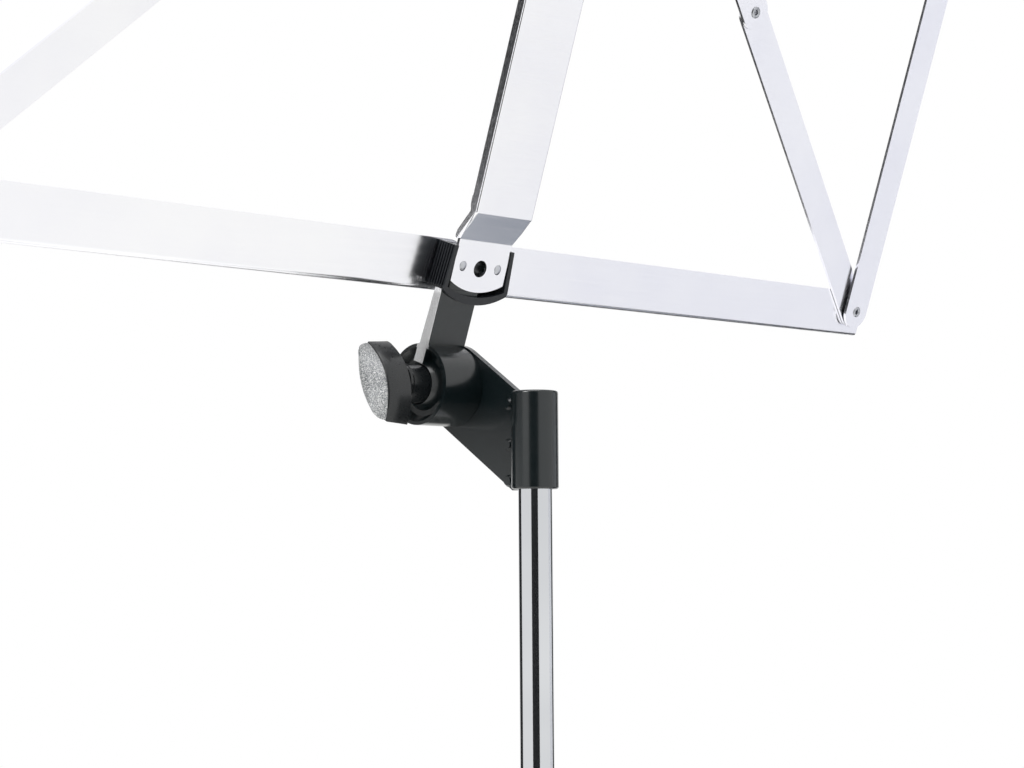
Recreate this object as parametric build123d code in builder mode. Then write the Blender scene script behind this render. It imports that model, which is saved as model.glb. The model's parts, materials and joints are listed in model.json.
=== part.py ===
from build123d import *
from math import asin, atan2, cos, degrees, hypot, radians, sin, sqrt
import os

os.makedirs("parts", exist_ok=True)

# Folding music stand, in millimetres. +Z is up, the column's axis is X = Y = 0 and the floor is Z = 0.
# The reader stands at -Y and looks along +Y, so +X is the reader's right.

# ---------------------------------------------------------------- driving dimensions
SHEET = 1.2                 # nickel-plated steel sheet of the desk
PIVOT_PLAY = 0.08           # radial play of a riveted pivot
RUN_PLAY = 0.05             # radial play of a sliding or turning fit
SEAT_PLAY = 0.02            # radial play of a seat that doesn't move
LAYER_PLAY = 0.2            # gap between flat links that slide over each other

# Column
UPPER_TUBE_OD = 12.0
TUBE_WALL = 1.2
TUBE_GAP = 0.8                     # between one tube and the next, each side
TUBE_OD = [UPPER_TUBE_OD + 2 * i * (TUBE_WALL + TUBE_GAP) for i in (2, 1, 0)]   # base, middle, upper
BASE_TUBE_BOTTOM = 46.0
BASE_TUBE_LENGTH = 460.0
MIDDLE_TUBE_LENGTH = 450.0
UPPER_TUBE_LENGTH = 430.0
MIDDLE_TUBE_TOP = 790.0            # where the middle tube is set
SOCKET_TOP = 1050.0                # top of the head socket, where the upper tube is set
PLUG_LENGTH = 14.0
CLAMP_WALL = 4.5                   # plastic round the outer tube
CLAMP_SKIRT = 24.0                 # grip on the outer tube
CLAMP_COLLAR = 14.0                # guide round the inner tube
SCREW_RADIUS = 2.5
BOSS_RADIUS = 7.0
BOSS_REACH = 9.0                   # boss beyond the clamp's body
WING_LENGTH, WING_WIDTH, WING_HEIGHT = 24.0, 10.5, 10.0

# Tripod
LEG_ANGLES = [0.0, 120.0, 240.0]
PIVOT_REACH = TUBE_OD[0] / 2 + 12.0  # leg and strut pivots from the column's axis
HUB_HEIGHT = 62.0                  # strut pivots above the floor
SPIDER_HEIGHT = 252.0              # leg pivots above the floor, legs spread
LEG_END_REACH = 226.0
LEG_END_HEIGHT = 9.5
STRUT_ON_LEG = 160.0               # from the leg's pivot to the strut's pivot
LEG_WIDTH, LEG_WALL = 14.0, 1.5
LEG_WEB, LEG_LIP = 6.0, 4.0        # pivot line to the back of the web, and to the flange's edge
LEG_FOLDED = 8.0                    # degrees from the column when folded
STRUT_THICK, STRUT_HALF = 2.0, 6.0
EAR_THICK, EAR_RADIUS = 3.0, 4.0
LEG_RIVET_RADIUS = 2.0
COLLAR_WALL = 4.0
COLLAR_HEIGHT = 26.0
FOOT_WIDTH, FOOT_LENGTH = LEG_WIDTH + 6.0, 34.0
FOOT_OUTER = LEG_END_REACH + 14.0

# Head socket and gusset
SOCKET_RADIUS = UPPER_TUBE_OD / 2 + 2.3
SOCKET_HEIGHT = 34.4
SOCKET_CAP = 3.0
GUSSET_FACE = -2.5                 # X of the gusset's face against the barrel
GUSSET_THICK = 2.5
GUSSET_RADIUS = 15.2
GUSSET_SLOPE = 34.5                # degrees below horizontal, from the tilt axis to the socket
FIN_DEPTH = 11.0
GUSSET_RIVET_Y = -SOCKET_RADIUS - 7.0
GUSSET_RIVET_DROPS = [2.6, 17.2, 30.0]
GUSSET_RIVET_RADIUS = 2.2
TILT_Y, TILT_RISE = -42.95, 4.2    # tilt axis: behind the column, above the socket's top

# Arm, barrel and wing knob
TILT = 19.2                        # the desk leans back this far from vertical
ARM_REACH, ARM_SETBACK = 44.4, 1.8  # from the tilt axis up the desk, and out to the plate's face
BARREL_RADIUS = 14.7
BARREL_END = 15.7                  # X of the barrel's open end and of the arm's side
BARREL_FACE_PLAY = 0.1
DISH_LIP, DISH_DEPTH = 1.3, 3.2
BOLT_RADIUS = 2.95
HUB_RADIUS = 7.0                   # the knob's round neck
KNOB_BASE, KNOB_EDGE, KNOB_TIP = 25.2, 35.7, 41.0
KNOB_LENGTH, KNOB_WIDTH, KNOB_TURN = 32.6, 13.4, 18.2
KNOB_DRAFT = 5.0
ARM_RIGHT = -2.4                   # X of the arm's other side
ARM_FACE_TOP, ARM_FACE_LOW = 0.9, 1.6
ARM_BACK_TOP, ARM_BACK_LOW = 4.2, 6.6

# Desk: u runs along X, v up the desk and d from the plate's face towards the reader
PLATE_HALF, PLATE_TOP, PLATE_CORNER, PLATE_LOW = 13.1, 9.9, -5.4, -8.75
JOGGLE_TOP, JOGGLE_DEPTH = 20.8, 6.3
BAR_HALF, BAR_FLANGE = PLATE_HALF + 1.1, 2.5
PLATE_HOLE = 3.1
COVER_HALF, COVER_HALF_TOP, COVER_TOP = PLATE_HALF + 3.1, PLATE_HALF + 1.8, 7.5
COVER_CORNER, COVER_LOW = -8.8, -13.4
COVER_WALL, COVER_PROUD = 2.0, 0.4
RIB_COUNT, RIB_PITCH, RIB_DEPTH = 7, 1.3, 0.45
PIVOT_U = PLATE_HALF - 4.35        # ledge and brace pivots from the desk's centre line
LINK = 226.0                       # between pivots on every side of the folding frame
LEDGE_TOP, LEDGE_BOTTOM = 8.1, -11.4
LEDGE_END = PIVOT_U + LINK + 8.05
LEDGE_LIP, LEDGE_BEND = 32.0, 2.0
STRUT_HALF_WIDTH, BRACE_HALF_WIDTH = 7.2, 6.95
LEDGE_D = 9.05                     # faces nearest the audience, measured towards the reader
COVER_BACK = LEDGE_D - 0.25
LOWER_BRACE_D = LEDGE_D - SHEET - LAYER_PLAY
UPPER_BRACE_D = LOWER_BRACE_D - SHEET - LAYER_PLAY
OUTER_STRUT_D = LOWER_BRACE_D - SHEET - 0.75
TOP_BAR_D = OUTER_STRUT_D - SHEET - 1.3
BRACE_ROOT_D = TOP_BAR_D - SHEET - 0.3
BRACE_JOG_START, BRACE_JOG_END = 22.0, 38.0
RIVET_RADIUS, EYELET_RADIUS = 1.5, 1.6
PLATE_RIVET_HEAD, EYELET_HEAD, EYELET_BORE = 1.95, 2.3, 0.95
HEAD_RISE = 0.45

# ---------------------------------------------------------------- derived values
TUBE_R = [od / 2 for od in TUBE_OD]
tilt_rad = radians(TILT)
up_desk = Vector(0, sin(tilt_rad), cos(tilt_rad))
to_reader = Vector(0, -cos(tilt_rad), sin(tilt_rad))
tilt_axis = Vector(0, TILT_Y, SOCKET_TOP + TILT_RISE)
plate_centre = tilt_axis + up_desk * ARM_REACH - to_reader * ARM_SETBACK
desk = Plane(origin=plate_centre, x_dir=(1, 0, 0), z_dir=to_reader)
desk_side = Plane(origin=plate_centre, x_dir=up_desk, z_dir=(1, 0, 0))
tilt_plane = Plane(origin=tilt_axis, x_dir=(0, 1, 0), z_dir=(1, 0, 0))
socket_bottom = SOCKET_TOP - SOCKET_HEIGHT
base_tube_top = BASE_TUBE_BOTTOM + BASE_TUBE_LENGTH
column_heights = [base_tube_top, MIDDLE_TUBE_TOP]
leg_length = hypot(LEG_END_REACH - PIVOT_REACH, SPIDER_HEIGHT - LEG_END_HEIGHT)
leg_angle = atan2(LEG_END_REACH - PIVOT_REACH, SPIDER_HEIGHT - LEG_END_HEIGHT)
strut_top = (PIVOT_REACH + STRUT_ON_LEG * sin(leg_angle), SPIDER_HEIGHT - STRUT_ON_LEG * cos(leg_angle))
strut_length = hypot(strut_top[0] - PIVOT_REACH, strut_top[1] - HUB_HEIGHT)
strut_angle = atan2(strut_top[0] - PIVOT_REACH, strut_top[1] - HUB_HEIGHT)
leg_folded = radians(LEG_FOLDED)
strut_folded = asin(STRUT_ON_LEG * sin(leg_folded) / strut_length)
spider_travel = (STRUT_ON_LEG * cos(leg_folded) + strut_length * cos(strut_folded)
                 - (SPIDER_HEIGHT - HUB_HEIGHT))
strut_side = LEG_WIDTH / 2 + LAYER_PLAY        # the struts lie beside the legs
brace_length = LINK / sqrt(2)
leg_inner = LEG_WIDTH / 2 - LEG_WALL


def finish(builder, label):
    """Label a finished sub-part and write it."""
    builder.part.label = label
    export_step(builder.part, f"parts/{label}.step")


def level(depth):
    """The plane parallel to the desk at a depth towards the reader."""
    return desk.offset(depth)


def on_tilt_axis(x):
    """The plane across the tilt axis at a distance along X."""
    return tilt_plane.offset(x)


def radial_plane(angle, aside=0.0):
    """The upright plane through the column's axis at an angle, drawn in reach and height."""
    a = radians(angle)
    across = Vector(sin(a), -cos(a), 0)
    return Plane(origin=across * aside, x_dir=(cos(a), sin(a), 0), z_dir=across)


def lens(length, width):
    """A pointed oval from two arcs, with its tips rounded, drawn in the current sketch."""
    radius = (length**2 + width**2) / (4 * width)
    shift = radius - width / 2
    with Locations((shift, 0)):
        Circle(radius)
    with Locations((-shift, 0)):
        Circle(radius, mode=Mode.INTERSECT)


def eyelet(depth, length, spot, label):
    """A hollow rivet from a depth towards the reader, with a rolled head at each end."""
    with BuildPart() as rivet:
        with BuildSketch(level(depth)):
            with Locations(spot):
                Circle(EYELET_RADIUS)
        extrude(amount=length)
        with BuildSketch(level(depth - HEAD_RISE), level(depth + length)):
            with Locations(spot):
                Circle(EYELET_HEAD)
        extrude(amount=HEAD_RISE)
        fillet(rivet.edges().filter_by(GeomType.CIRCLE).sort_by(SortBy.RADIUS)[-4:], HEAD_RISE * 0.45)
        with BuildSketch(level(depth - 2 * HEAD_RISE)):
            with Locations(spot):
                Circle(EYELET_BORE)
        extrude(amount=length + 4 * HEAD_RISE, mode=Mode.SUBTRACT)
    finish(rivet, label)


def flat_link(depth, start, end, half_width, holes, label):
    """A flat link with round ends between two pivots of the desk; holes are (spot, radius)."""
    run, rise = end[0] - start[0], end[1] - start[1]
    with BuildPart() as link:
        with BuildSketch(level(depth)):
            with Locations(((start[0] + end[0]) / 2, (start[1] + end[1]) / 2)):
                SlotCenterToCenter(hypot(run, rise), 2 * half_width, rotation=degrees(atan2(rise, run)))
            for spot, radius in holes:
                with Locations(spot):
                    Circle(radius, mode=Mode.SUBTRACT)
        extrude(amount=SHEET)
    finish(link, label)


# ---------------------------------------------------------------- column
def tube(radius, bottom, length, label):
    """A plain round tube."""
    with BuildPart() as pipe:
        with BuildSketch(Plane.XY.offset(bottom)):
            Circle(radius)
            Circle(radius - TUBE_WALL, mode=Mode.SUBTRACT)
        extrude(amount=length)
    finish(pipe, label)


tube(TUBE_R[0], BASE_TUBE_BOTTOM, BASE_TUBE_LENGTH, "base_tube")
tube(TUBE_R[1], MIDDLE_TUBE_TOP - MIDDLE_TUBE_LENGTH, MIDDLE_TUBE_LENGTH, "middle_tube")
tube(TUBE_R[2], SOCKET_TOP - SOCKET_CAP - UPPER_TUBE_LENGTH, UPPER_TUBE_LENGTH, "upper_tube")


def guide_plug(tube_bottom, tube_radius, guide_radius, label):
    """The plastic foot of a tube: a spigot inside it and a ring that runs in the next tube."""
    with BuildPart() as plug:
        with BuildSketch(Plane.XY.offset(tube_bottom)):
            Circle(tube_radius - TUBE_WALL - SEAT_PLAY)
        extrude(amount=PLUG_LENGTH)
        with BuildSketch(Plane.XY.offset(tube_bottom)):
            Circle(guide_radius)
        extrude(amount=-PLUG_LENGTH / 3)
        chamfer(plug.edges().sort_by(Axis.Z)[0], 0.6)
    finish(plug, label)


for i, name in ((0, "base_plug"), (1, "middle_plug"), (2, "upper_plug")):
    bottom = [BASE_TUBE_BOTTOM, MIDDLE_TUBE_TOP - MIDDLE_TUBE_LENGTH,
              SOCKET_TOP - SOCKET_CAP - UPPER_TUBE_LENGTH][i]
    guide = TUBE_R[0] if i == 0 else TUBE_R[i - 1] - TUBE_WALL - RUN_PLAY
    guide_plug(bottom, TUBE_R[i], guide, name)


def tube_clamp(outer, inner, top, label):
    """A plastic clamp on the end of one tube that guides the next, with a boss for its screw."""
    body = outer + CLAMP_WALL
    with BuildPart() as clamp:
        with BuildSketch(Plane.XY.offset(top - CLAMP_SKIRT)):
            Circle(body)
        extrude(amount=CLAMP_SKIRT + CLAMP_COLLAR)
        fillet(clamp.edges().filter_by(GeomType.CIRCLE), 1.6)
        with BuildSketch(Plane.YZ.offset(0)):
            with Locations((0, top + CLAMP_COLLAR - BOSS_RADIUS)):
                Circle(BOSS_RADIUS)
        extrude(amount=body + BOSS_REACH)
        fillet(clamp.edges().filter_by(GeomType.CIRCLE).sort_by(Axis.X)[-1], 1.2)
        with BuildSketch(Plane.XY.offset(top - CLAMP_SKIRT)):
            Circle(outer + SEAT_PLAY)
        extrude(amount=CLAMP_SKIRT, mode=Mode.SUBTRACT)
        with BuildSketch(Plane.XY.offset(top)):
            Circle(inner + RUN_PLAY)
        extrude(amount=CLAMP_COLLAR, mode=Mode.SUBTRACT)
        with BuildSketch(Plane.YZ.offset(0)):
            with Locations((0, top + CLAMP_COLLAR - BOSS_RADIUS)):
                Circle(SCREW_RADIUS + RUN_PLAY)
        extrude(amount=body + BOSS_REACH, mode=Mode.SUBTRACT)
    finish(clamp, label)


def wing_screw(plane, tip, seat, label):
    """A thumb screw along a plane's normal: steel stud, round neck and a pointed-oval wing."""
    with BuildPart() as screw:
        with BuildSketch(plane.offset(tip)):
            Circle(SCREW_RADIUS)
        extrude(amount=seat - tip)
        with BuildSketch(plane.offset(seat)):
            Circle(WING_WIDTH / 2 - 0.6)
        extrude(amount=3)
        with BuildSketch(plane.offset(seat + 3)):
            lens(WING_LENGTH, WING_WIDTH)
        extrude(amount=WING_HEIGHT, taper=4)
        fillet(screw.faces().sort_by(Axis(plane.origin, plane.z_dir))[-1].edges(), 1.2)
    finish(screw, label)


for i, name in ((0, "lower"), (1, "upper")):
    top = column_heights[i]
    tube_clamp(TUBE_R[i], TUBE_R[i + 1], top, f"{name}_clamp")
    boss_axis = Plane(origin=(0, 0, top + CLAMP_COLLAR - BOSS_RADIUS), x_dir=(0, 1, 0), z_dir=(1, 0, 0))
    boss_end = TUBE_R[i] + CLAMP_WALL + BOSS_REACH
    wing_screw(boss_axis, TUBE_R[i + 1] + LAYER_PLAY, boss_end + LAYER_PLAY, f"{name}_clamp_screw")

# ---------------------------------------------------------------- tripod
collar_radius = TUBE_R[0] + COLLAR_WALL

# The spider slides on the base tube and holds the legs on three tongues.
with BuildPart() as spider:
    with BuildSketch(Plane.XY.offset(SPIDER_HEIGHT - COLLAR_HEIGHT / 2)):
        Circle(collar_radius)
    extrude(amount=COLLAR_HEIGHT)
    fillet(spider.edges().filter_by(GeomType.CIRCLE), 1.5)
    for angle in LEG_ANGLES:
        with BuildSketch(radial_plane(angle)):
            with Locations(((TUBE_R[0] + 1 + PIVOT_REACH) / 2, SPIDER_HEIGHT)):
                Rectangle(PIVOT_REACH - TUBE_R[0] - 1, 2 * EAR_RADIUS)
            with Locations((PIVOT_REACH, SPIDER_HEIGHT)):
                Circle(EAR_RADIUS)
                Circle(LEG_RIVET_RADIUS + SEAT_PLAY, mode=Mode.SUBTRACT)
        extrude(amount=leg_inner - LAYER_PLAY, both=True)
    with BuildSketch(Plane(origin=(0, 0, SPIDER_HEIGHT), x_dir=(0, -1, 0), z_dir=(-1, 0, 0))):
        Circle(BOSS_RADIUS - 1)
    extrude(amount=collar_radius + BOSS_REACH - 3)
    with BuildSketch(Plane.XY.offset(SPIDER_HEIGHT - COLLAR_HEIGHT)):
        Circle(TUBE_R[0] + RUN_PLAY)
    extrude(amount=2 * COLLAR_HEIGHT, mode=Mode.SUBTRACT)
    with BuildSketch(Plane(origin=(0, 0, SPIDER_HEIGHT), x_dir=(0, -1, 0), z_dir=(-1, 0, 0))):
        Circle(SCREW_RADIUS + RUN_PLAY)
    extrude(amount=collar_radius + BOSS_REACH, mode=Mode.SUBTRACT)
finish(spider, "leg_spider")

wing_screw(Plane(origin=(0, 0, SPIDER_HEIGHT), x_dir=(0, -1, 0), z_dir=(-1, 0, 0)),
           TUBE_R[0] + LAYER_PLAY, collar_radius + BOSS_REACH - 3 + LAYER_PLAY, "spider_screw")

# The hub is fixed at the bottom of the base tube and holds the struts between pairs of ears.
with BuildPart() as hub:
    with BuildSketch(Plane.XY.offset(HUB_HEIGHT - COLLAR_HEIGHT / 2)):
        Circle(collar_radius)
    extrude(amount=COLLAR_HEIGHT)
    fillet(hub.edges().filter_by(GeomType.CIRCLE), 1.5)
    for angle in LEG_ANGLES:
        with BuildSketch(radial_plane(angle, strut_side - LAYER_PLAY)):
            with Locations(((TUBE_R[0] - 2 + PIVOT_REACH) / 2, HUB_HEIGHT)):
                Rectangle(PIVOT_REACH - TUBE_R[0] + 2, 2 * EAR_RADIUS)
            with Locations((PIVOT_REACH, HUB_HEIGHT)):
                Circle(EAR_RADIUS)
                Circle(LEG_RIVET_RADIUS + SEAT_PLAY, mode=Mode.SUBTRACT)
        extrude(amount=-EAR_THICK)
    with BuildSketch(Plane.XY.offset(HUB_HEIGHT - COLLAR_HEIGHT)):
        Circle(TUBE_R[0] + SEAT_PLAY)
    extrude(amount=2 * COLLAR_HEIGHT, mode=Mode.SUBTRACT)
finish(hub, "strut_hub")


def cross_rivets(reach, height, half_span, head, label, angles):
    """Solid rivets across the legs, one at each angle, with a domed head on both ends."""
    with BuildPart() as rivets:
        for angle in angles:
            for side in (1, -1):
                with BuildSketch(radial_plane(angle)):
                    with Locations((reach, height)):
                        Circle(LEG_RIVET_RADIUS)
                extrude(amount=side * half_span)
                with BuildSketch(radial_plane(angle, side * half_span)):
                    with Locations((reach, height)):
                        Circle(head)
                extrude(amount=side * 1.2, taper=20)
    finish(rivets, label)


cross_rivets(PIVOT_REACH, SPIDER_HEIGHT, LEG_WIDTH / 2 + 0.1, 3.6, "leg_rivets", LEG_ANGLES)


with BuildPart() as hub_rivets:
    for angle in LEG_ANGLES:
        inner, outer = strut_side - LAYER_PLAY - EAR_THICK, strut_side + STRUT_THICK + LAYER_PLAY / 2
        with BuildSketch(radial_plane(angle, inner)):
            with Locations((PIVOT_REACH, HUB_HEIGHT)):
                Circle(LEG_RIVET_RADIUS)
        extrude(amount=outer - inner)
        for aside, way in ((inner, -1), (outer, 1)):
            with BuildSketch(radial_plane(angle, aside)):
                with Locations((PIVOT_REACH, HUB_HEIGHT)):
                    Circle(1.6 * LEG_RIVET_RADIUS)
            extrude(amount=way * 1.2, taper=20)
finish(hub_rivets, "hub_rivets")

leg_dir = (sin(leg_angle), -cos(leg_angle))
leg_normal = (cos(leg_angle), sin(leg_angle))


def leg_point(along, out):
    """A point in a leg's upright plane, by its distance along the leg and out from the pivot line."""
    return (PIVOT_REACH + leg_dir[0] * along + leg_normal[0] * out,
            SPIDER_HEIGHT + leg_dir[1] * along + leg_normal[1] * out)


for number, angle in enumerate(LEG_ANGLES, start=1):
    # A leg is a steel channel that opens towards the column.
    with BuildPart() as leg:
        with BuildSketch(radial_plane(angle)):
            with BuildLine():
                Polyline(leg_point(-LEG_WEB, -LEG_LIP), leg_point(-LEG_WEB, LEG_WEB),
                         leg_point(leg_length, LEG_WEB), leg_point(leg_length, -LEG_LIP), close=True)
            make_face()
            fillet(vertices().group_by(Axis.Y)[-1], LEG_WEB * 0.6)
        extrude(amount=LEG_WIDTH / 2, both=True)
        with BuildSketch(radial_plane(angle)):
            with BuildLine():
                Polyline(leg_point(-2 * LEG_WEB, -2 * LEG_LIP), leg_point(-2 * LEG_WEB, LEG_WEB - LEG_WALL),
                         leg_point(leg_length + 1, LEG_WEB - LEG_WALL), leg_point(leg_length + 1, -2 * LEG_LIP),
                         close=True)
            make_face()
        extrude(amount=leg_inner, both=True, mode=Mode.SUBTRACT)
        with BuildSketch(radial_plane(angle)):
            with Locations((PIVOT_REACH, SPIDER_HEIGHT)):
                Circle(LEG_RIVET_RADIUS + PIVOT_PLAY)
        extrude(amount=LEG_WIDTH, both=True, mode=Mode.SUBTRACT)
    finish(leg, f"leg_{number}")

    # A rubber foot is pushed over the leg's end and stands flat on the floor.
    foot_back = leg_point(leg_length - FOOT_LENGTH * 0.62, -LEG_LIP - 3)
    foot_top = leg_point(leg_length - FOOT_LENGTH * 0.62, LEG_WEB + 2.5)
    with BuildPart() as foot:
        with BuildSketch(radial_plane(angle)):
            with BuildLine():
                Polyline(foot_back, foot_top, (FOOT_OUTER - 2.5, 9), (FOOT_OUTER, 5), (FOOT_OUTER, 0),
                         (foot_back[0] + foot_back[1] * 0.35, 0), close=True)
            make_face()
            fillet(vertices().group_by(Axis.Y)[-1], 2.5)
        extrude(amount=FOOT_WIDTH / 2, both=True)
        chamfer(foot.faces().filter_by(Plane(origin=(0, 0, 0), z_dir=radial_plane(angle).z_dir)).edges()
                .filter_by(lambda e: e.center().Z > 7), 1.2)
        with BuildSketch(radial_plane(angle)):
            with BuildLine():
                Polyline(leg_point(leg_length - FOOT_LENGTH, -LEG_LIP - SEAT_PLAY),
                         leg_point(leg_length - FOOT_LENGTH, LEG_WEB + SEAT_PLAY),
                         leg_point(leg_length + SEAT_PLAY, LEG_WEB + SEAT_PLAY),
                         leg_point(leg_length + SEAT_PLAY, -LEG_LIP - SEAT_PLAY), close=True)
            make_face()
        extrude(amount=LEG_WIDTH / 2 + SEAT_PLAY, both=True, mode=Mode.SUBTRACT)
    finish(foot, f"foot_{number}")

    # A flat strut runs from the hub's ear to the leg's side.
    with BuildPart() as strut:
        with BuildSketch(radial_plane(angle, strut_side)):
            with Locations(((PIVOT_REACH + strut_top[0]) / 2, (HUB_HEIGHT + strut_top[1]) / 2)):
                SlotCenterToCenter(strut_length, 2 * STRUT_HALF, rotation=90 - degrees(strut_angle))
            with Locations((PIVOT_REACH, HUB_HEIGHT)):
                Circle(LEG_RIVET_RADIUS + PIVOT_PLAY, mode=Mode.SUBTRACT)
            with Locations(strut_top):
                Circle(LEG_RIVET_RADIUS + SEAT_PLAY, mode=Mode.SUBTRACT)
        extrude(amount=STRUT_THICK)
    finish(strut, f"strut_{number}")

    # The rivet in the strut's upper end stops at the leg's side.
    with BuildPart() as strut_rivet:
        with BuildSketch(radial_plane(angle, strut_side - LAYER_PLAY / 2)):
            with Locations(strut_top):
                Circle(LEG_RIVET_RADIUS)
        extrude(amount=STRUT_THICK + LAYER_PLAY / 2)
        with BuildSketch(radial_plane(angle, strut_side + STRUT_THICK)):
            with Locations(strut_top):
                Circle(1.8 * LEG_RIVET_RADIUS)
        extrude(amount=1.2, taper=20)
    finish(strut_rivet, f"strut_rivet_{number}")

# ---------------------------------------------------------------- head socket and gusset
fin_x = GUSSET_FACE - GUSSET_THICK
with BuildPart() as socket:
    with BuildSketch(Plane.XY.offset(socket_bottom)):
        Circle(SOCKET_RADIUS)
    extrude(amount=SOCKET_HEIGHT)
    fillet(socket.edges().filter_by(GeomType.CIRCLE), 0.9)
    with BuildSketch(Plane.YZ.offset(fin_x)):
        with BuildLine():
            Polyline((0, socket_bottom + 1), (0, SOCKET_TOP - 2),
                     (-SOCKET_RADIUS - FIN_DEPTH / 2, SOCKET_TOP - 2),
                     (-SOCKET_RADIUS - FIN_DEPTH, SOCKET_TOP - 6),
                     (-SOCKET_RADIUS - FIN_DEPTH, socket_bottom + 6),
                     (-SOCKET_RADIUS - FIN_DEPTH / 2, socket_bottom + 1), close=True)
        make_face()
    extrude(amount=-GUSSET_THICK)
    with BuildSketch(Plane.XY.offset(socket_bottom)):
        Circle(TUBE_R[2] + SEAT_PLAY)
    extrude(amount=SOCKET_HEIGHT - SOCKET_CAP + SEAT_PLAY, mode=Mode.SUBTRACT)
    with BuildSketch(Plane.YZ.offset(fin_x)):
        for drop in GUSSET_RIVET_DROPS:
            with Locations((GUSSET_RIVET_Y, SOCKET_TOP - drop - 1)):
                Circle(RIVET_RADIUS + SEAT_PLAY)
    extrude(amount=-2 * GUSSET_THICK, mode=Mode.SUBTRACT)
finish(socket, "head_socket")

# The gusset is a flat plate: round about the tilt axis, then a straight band down to the socket.
slope = radians(GUSSET_SLOPE)
band_dir, band_up = (cos(slope), -sin(slope)), (sin(slope), cos(slope))
gusset_foot_y = -SOCKET_RADIUS + 0.5
with BuildPart() as gusset:
    with BuildSketch(on_tilt_axis(fin_x)):
        Circle(GUSSET_RADIUS)
        with BuildLine():
            edge_y = gusset_foot_y - TILT_Y
            top_run = (edge_y - band_up[0] * GUSSET_RADIUS) / band_dir[0]
            low_z = socket_bottom - tilt_axis.Z
            low_run = (low_z + band_up[1] * GUSSET_RADIUS) / band_dir[1]
            Polyline((band_up[0] * GUSSET_RADIUS, band_up[1] * GUSSET_RADIUS),
                     (edge_y, band_up[1] * GUSSET_RADIUS + band_dir[1] * top_run),
                     (edge_y, low_z), (-band_up[0] * GUSSET_RADIUS + band_dir[0] * low_run, low_z),
                     (-band_up[0] * GUSSET_RADIUS, -band_up[1] * GUSSET_RADIUS), close=True)
        make_face()
        Circle(BOLT_RADIUS + SEAT_PLAY, mode=Mode.SUBTRACT)
        for drop in GUSSET_RIVET_DROPS:
            with Locations((GUSSET_RIVET_Y - TILT_Y, SOCKET_TOP - drop - 1 - tilt_axis.Z)):
                Circle(RIVET_RADIUS + SEAT_PLAY, mode=Mode.SUBTRACT)
    extrude(amount=GUSSET_THICK)
    with BuildSketch(Plane.XY.offset(socket_bottom - 1)):
        Circle(SOCKET_RADIUS + SEAT_PLAY)
    extrude(amount=SOCKET_HEIGHT + 2, mode=Mode.SUBTRACT)
finish(gusset, "gusset_plate")

with BuildPart() as gusset_rivets:
    for drop in GUSSET_RIVET_DROPS:
        spot = (GUSSET_RIVET_Y, SOCKET_TOP - drop - 1)
        with BuildSketch(Plane.YZ.offset(fin_x - GUSSET_THICK)):
            with Locations(spot):
                Circle(RIVET_RADIUS)
        extrude(amount=2 * GUSSET_THICK)
        for face, way in ((GUSSET_FACE, 1), (fin_x - GUSSET_THICK, -1)):
            with BuildSketch(Plane.YZ.offset(face)):
                with Locations(spot):
                    Circle(GUSSET_RIVET_RADIUS)
            extrude(amount=way * 1.1, taper=30)
finish(gusset_rivets, "gusset_rivets")

# ---------------------------------------------------------------- tilt joint
barrel_start = GUSSET_FACE + BARREL_FACE_PLAY
with BuildPart() as bolt:
    with BuildSketch(on_tilt_axis(fin_x)):
        Circle(BOLT_RADIUS)
    extrude(amount=KNOB_EDGE - 2 - fin_x)
    with BuildSketch(on_tilt_axis(fin_x)):
        Circle(6.6)
    extrude(amount=-3.4, taper=35)
finish(bolt, "tilt_bolt")

with BuildPart() as knob:
    neck_start = BARREL_END - DISH_DEPTH + BARREL_FACE_PLAY
    with BuildSketch(on_tilt_axis(neck_start)):
        Circle(HUB_RADIUS)
    extrude(amount=KNOB_BASE - neck_start)
    for start, end, shrink, taper in ((KNOB_BASE, KNOB_EDGE, 0.0, KNOB_DRAFT),
                                      (KNOB_EDGE, KNOB_TIP, 1.2, 30)):
        with BuildSketch(on_tilt_axis(start)):
            with BuildLine(mode=Mode.ADD):
                half, belly = KNOB_LENGTH / 2 - shrink, KNOB_WIDTH / 2 - shrink
                turn = radians(90 + KNOB_TURN)
                tip = (half * cos(turn), half * sin(turn))
                side = (belly * sin(turn), -belly * cos(turn))
                ThreePointArc(tip, side, (-tip[0], -tip[1]))
                ThreePointArc((-tip[0], -tip[1]), (-side[0], -side[1]), tip)
            make_face()
            fillet(vertices(), 1.2)
        extrude(amount=end - start, taper=taper)
    with BuildSketch(on_tilt_axis(neck_start)):
        Circle(BOLT_RADIUS + RUN_PLAY)
    extrude(amount=KNOB_EDGE - 2 - neck_start + LAYER_PLAY, mode=Mode.SUBTRACT)
finish(knob, "tilt_knob")

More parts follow.
